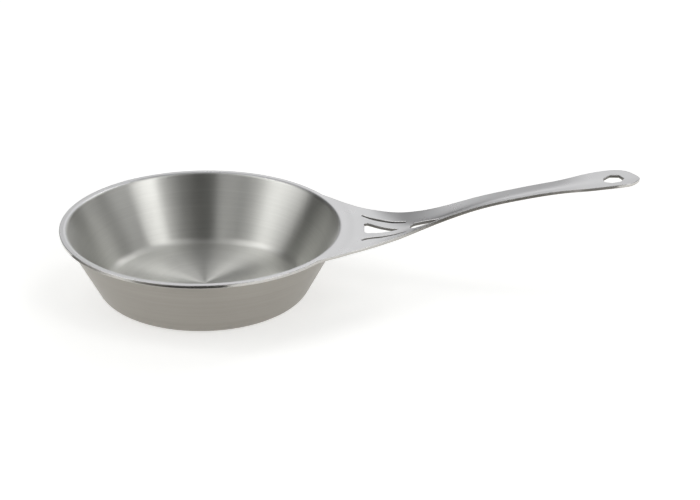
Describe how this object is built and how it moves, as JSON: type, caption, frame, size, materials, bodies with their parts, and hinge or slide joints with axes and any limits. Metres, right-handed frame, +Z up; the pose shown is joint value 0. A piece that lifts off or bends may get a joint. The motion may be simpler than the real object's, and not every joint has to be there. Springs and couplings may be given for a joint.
{
  "type": "frying pan",
  "caption": "Deep conical steel frying pan with a flat rim and a long upswept dished handle, vented near the rim and pierced with a hanging hole at its end.",
  "frame": {"origin": "centre of the underside, on the axis of the bowl, where the pan stands on a surface", "axes": "+Z up along the bowl's axis, +X along the handle from the bowl's axis towards the handle's tip"},
  "size_m": [0.5225, 0.26, 0.1192],
  "materials": {
    "brushed_bowl": "circular brushing, satin",
    "satin_handle": "fine satin with polished edges"
  },
  "bodies": {
    "root": {"bowl_floor": "brushed_bowl", "base_bend": "brushed_bowl", "bowl_wall": "brushed_bowl", "rim_flange": "satin_handle", "handle_root": "satin_handle", "handle_neck": "satin_handle", "handle_grip": "satin_handle", "handle_end": "satin_handle"}
  },
  "joints": []
}
